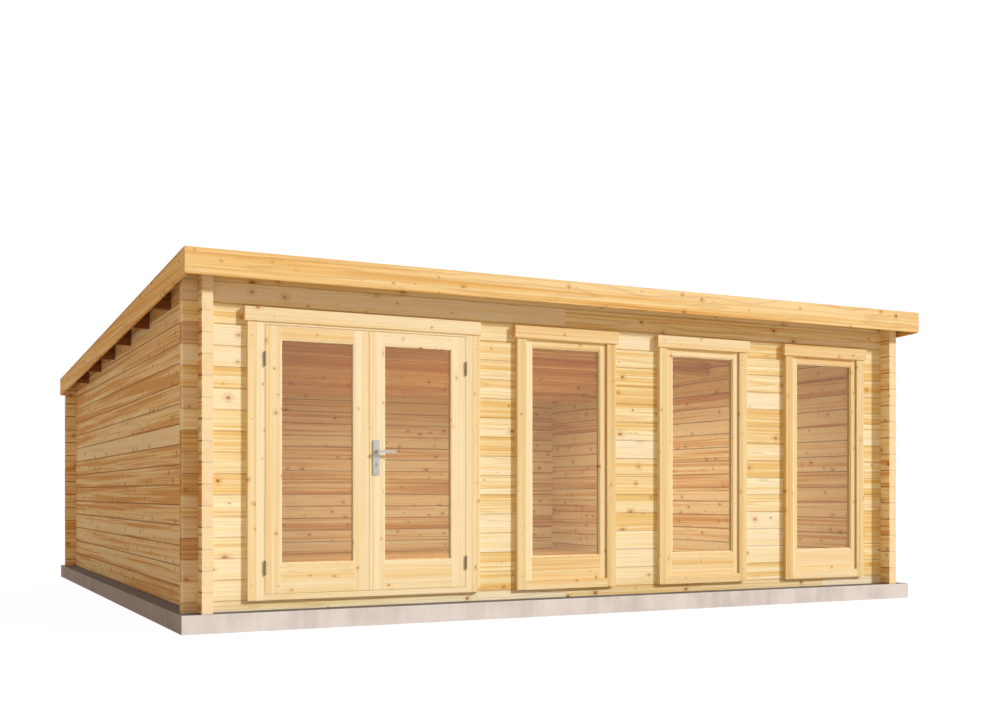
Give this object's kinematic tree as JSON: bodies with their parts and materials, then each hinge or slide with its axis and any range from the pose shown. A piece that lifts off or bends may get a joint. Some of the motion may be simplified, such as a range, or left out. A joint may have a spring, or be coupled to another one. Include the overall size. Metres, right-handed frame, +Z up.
{
  "type": "log cabin",
  "caption": "Square log cabin with a low single-slope roof, glazed double doors and tall windows along the front, on a concrete base.",
  "frame": {"origin": "on the underside of the concrete base, in the middle of the roof's outline", "axes": "+Z up, the front with the doors towards -Y, +X to the right seen from the front"},
  "size_m": [6.698, 6.741, 2.633],
  "materials": {
    "log_timber": "planed spruce logs, clear and unstained, with knots",
    "joinery_timber": "planed pale pine frames, sashes and trims",
    "roof_timber": "planed spruce boards, purlins and edge boards",
    "floor_timber": "planed tongued floor boards",
    "bearer_timber": "green tinted treated timber",
    "roof_membrane": "dark rubber roof membrane",
    "concrete": "pale cast concrete with faint formwork marks",
    "clear_glass": "clear double glazing",
    "satin_steel": "satin steel hinges and handle"
  },
  "bodies": {
    "root": {"barge_board_left": "roof_timber", "barge_board_right": "roof_timber", "concrete_base": "concrete", "door_head": "joinery_timber", "door_jambs": "joinery_timber", "door_lintel": "joinery_timber", "door_sill": "joinery_timber", "door_trims": "joinery_timber", "fascia_front": "roof_timber", "fascia_rear": "roof_timber", "floor_bearers": "bearer_timber", "floor_boards": "floor_timber", "front_wall_logs_even": "log_timber", "front_wall_logs_odd": "log_timber", "hinges_on_frame": "satin_steel", "left_wall_logs_even": "log_timber", "left_wall_logs_odd": "log_timber", "purlins": "roof_timber", "rear_wall_logs_even": "log_timber", "rear_wall_logs_odd": "log_timber", "right_wall_logs_even": "log_timber", "right_wall_logs_odd": "log_timber", "roof_boards": "roof_timber", "roof_covering": "roof_membrane", "window_glass": "clear_glass", "window_heads_and_sills": "joinery_timber", "window_jambs": "joinery_timber", "window_lintels": "joinery_timber", "window_sash_rails": "joinery_timber", "window_sash_stiles": "joinery_timber", "window_sill_trims": "joinery_timber", "window_trims": "joinery_timber"},
    "door_left": {"door_left_stiles": "joinery_timber", "door_left_rails": "joinery_timber", "door_left_glass": "clear_glass", "hinges_on_left_door": "satin_steel"},
    "door_right": {"door_right_stiles": "joinery_timber", "door_right_rails": "joinery_timber", "door_right_glass": "clear_glass", "hinges_on_right_door": "satin_steel", "door_handle_plates": "satin_steel"},
    "door_handle": {"door_handle_lever": "satin_steel"}
  },
  "joints": [
    {"name": "left_door_swing", "type": "hinge", "parent": "root", "child": "door_left", "pos_m": [-2.738, -3.1685, 1.133], "axis": [0, 0, -1], "range_deg": [0, 110]},
    {"name": "right_door_swing", "type": "hinge", "parent": "root", "child": "door_right", "pos_m": [-1.162, -3.1685, 1.133], "axis": [0, 0, 1], "range_deg": [0, 110]},
    {"name": "lever_turn", "type": "hinge", "parent": "door_right", "child": "door_handle", "pos_m": [-1.897, -3.1585, 1.278], "axis": [0, 1, 0], "range_deg": [0, 40]}
  ]
}
